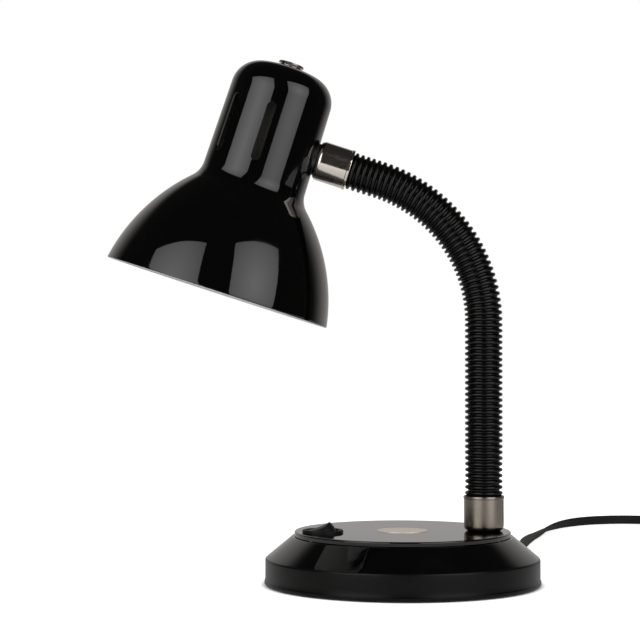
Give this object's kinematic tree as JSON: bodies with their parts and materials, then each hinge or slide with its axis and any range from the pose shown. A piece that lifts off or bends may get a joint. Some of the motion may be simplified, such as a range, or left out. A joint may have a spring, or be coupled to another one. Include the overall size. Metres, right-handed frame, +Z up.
{
  "type": "gooseneck desk lamp",
  "caption": "Desk lamp with a glossy bell shade on a flexible ribbed neck, a round weighted base with a rocker switch, and a flat mains cord laid in a coil.",
  "frame": {"origin": "centre of the foot pad's underside, on the table", "axes": "+Z up; +X from the middle of the base to the neck, so that the neck bends in the plane Y = 0; -Y is the side that faces the camera"},
  "size_m": [0.4571, 0.4305, 0.3056],
  "materials": {
    "gloss_black_paint": "gloss black enamel",
    "badge_champagne": "satin champagne, bare",
    "iron": "raw casting",
    "zinc_steel": "zinc plated",
    "foot_rubber": "matt anti-slip",
    "switch_black": "moulded black",
    "plunger_white": "moulded",
    "contact_brass": "bright",
    "nickel": "warm nickel plate",
    "sleeve_black": "satin black ribbed sleeve",
    "core_steel": "turned",
    "shade_enamel": "gloss black outside, white enamel inside and on the rim",
    "black_washer": "satin",
    "cap_metal": "polished nickel",
    "holder_dark": "dark moulded resin",
    "foot_insulator": "dark glass insulator with its contact",
    "bulb_metal": "bright screw cap",
    "bulb_white": "frosted white",
    "cord_black": "matt black sheath",
    "plug_black": "moulded black",
    "lead_white": "insulated wire"
  },
  "bodies": {
    "base": {"base_cover": "gloss_black_paint", "top_plate": "gloss_black_paint", "plate_screws": "zinc_steel", "badge": "badge_champagne", "ballast": "iron", "bottom_plate": "zinc_steel", "foot_pad": "foot_rubber", "bottom_screws": "zinc_steel", "switch_housing": "switch_black", "switch_terminals": "contact_brass", "lower_collar": "nickel", "lower_nipple": "contact_brass", "lower_washer": "zinc_steel", "lower_nut": "zinc_steel", "base_leads": "lead_white", "cord_gland": "cord_black", "power_cord": "cord_black", "cord_coil": "cord_black", "cord_tie": "plug_black", "plug_body": "plug_black", "plug_blades": "contact_brass", "neck_sleeve_0": "sleeve_black", "neck_link_0": "core_steel"},
    "rocker": {"switch_rocker": "switch_black", "switch_plunger": "plunger_white"},
    "lever": {"switch_lever": "contact_brass"},
    "neck_1": {"neck_sleeve_1": "sleeve_black", "neck_link_1": "core_steel"},
    "neck_2": {"neck_sleeve_2": "sleeve_black", "neck_link_2": "core_steel"},
    "neck_3": {"neck_sleeve_3": "sleeve_black", "neck_link_3": "core_steel"},
    "neck_4": {"neck_sleeve_4": "sleeve_black", "neck_link_4": "core_steel"},
    "neck_5": {"neck_sleeve_5": "sleeve_black", "neck_link_5": "core_steel"},
    "neck_6": {"neck_sleeve_6": "sleeve_black", "neck_link_6": "core_steel"},
    "neck_7": {"neck_sleeve_7": "sleeve_black", "neck_link_7": "core_steel"},
    "neck_8": {"neck_sleeve_8": "sleeve_black", "neck_link_8": "core_steel", "upper_collar": "nickel", "upper_nipple": "contact_brass", "upper_washer": "zinc_steel", "upper_nut": "zinc_steel"},
    "head": {"shade": "shade_enamel", "outer_saddle": "black_washer", "inner_saddle": "zinc_steel", "crown_cap": "cap_metal", "holder_bracket": "zinc_steel", "holder_screw": "zinc_steel", "holder_body": "holder_dark", "holder_shell": "contact_brass", "holder_contact": "contact_brass"},
    "bulb_foot": {"bulb_foot": "foot_insulator"},
    "bulb": {"bulb_cap": "bulb_metal", "bulb_glass": "bulb_white"}
  },
  "joints": [
    {"name": "switch_rock", "type": "hinge", "parent": "base", "child": "rocker", "pos_m": [-0.0465, -0.01, 0.0278], "axis": [0, 1, 0], "range_deg": [0, 40]},
    {"name": "lever_rock", "type": "hinge", "parent": "base", "child": "lever", "pos_m": [-0.0465, -0.01, 0.0189], "axis": [0, 1, 0], "range_deg": [-20.1, 0]},
    {"name": "neck_bend_1", "type": "hinge", "parent": "base", "child": "neck_1", "pos_m": [0.0475, 0, 0.0701], "axis": [0.0002, -1, 0.0002], "range_deg": [-15, 12]},
    {"name": "neck_sway_1", "type": "hinge", "parent": "neck_1", "child": "neck_2", "pos_m": [0.0475, 0, 0.09747], "axis": [1, -0.0001, 0.0002], "range_deg": [-15, 15]},
    {"name": "neck_bend_2", "type": "hinge", "parent": "neck_2", "child": "neck_3", "pos_m": [0.0475, 0, 0.12483], "axis": [0.0002, -1, 0.0002], "range_deg": [-15, 12]},
    {"name": "neck_sway_2", "type": "hinge", "parent": "neck_3", "child": "neck_4", "pos_m": [0.0475, 0, 0.1522], "axis": [1, -0.0001, 0.0002], "range_deg": [-15, 15]},
    {"name": "neck_bend_3", "type": "hinge", "parent": "neck_4", "child": "neck_5", "pos_m": [0.04276, 0, 0.18052], "axis": [0.0002, -1, 0.0002], "range_deg": [-15, 12]},
    {"name": "neck_sway_3", "type": "hinge", "parent": "neck_5", "child": "neck_6", "pos_m": [0.02906, 0, 0.20576], "axis": [0.788, -0.0001, 0.6157], "range_deg": [-15, 15]},
    {"name": "neck_bend_4", "type": "hinge", "parent": "neck_6", "child": "neck_7", "pos_m": [0.01002, 0, 0.22383], "axis": [0.0002, -1, 0.0002], "range_deg": [-15, 12]},
    {"name": "neck_sway_4", "type": "hinge", "parent": "neck_7", "child": "neck_8", "pos_m": [-0.01348, 0, 0.23555], "axis": [0.3091, -0.0001, 0.951], "range_deg": [-15, 15]},
    {"name": "head_swivel", "type": "hinge", "parent": "neck_8", "child": "head", "pos_m": [-0.05009, 0, 0.24744], "axis": [0.9511, 0, -0.309], "range_deg": [-60, 60]},
    {"name": "bulb_feed", "type": "slide", "parent": "head", "child": "bulb_foot", "axis": [-0.309, 0, -0.9511], "range_m": [0, 0.00726]},
    {"name": "bulb_turn", "type": "hinge", "parent": "bulb_foot", "child": "bulb", "pos_m": [-0.07488, 0, 0.27201], "axis": [-0.309, 0, -0.9511], "range_deg": [0, 720]}
  ],
  "couplings": [
    {"joint": "lever_rock", "follows": "switch_rock", "ratio": -0.5},
    {"joint": "bulb_feed", "follows": "bulb_turn", "m_per_rad": 0.00057755}
  ]
}
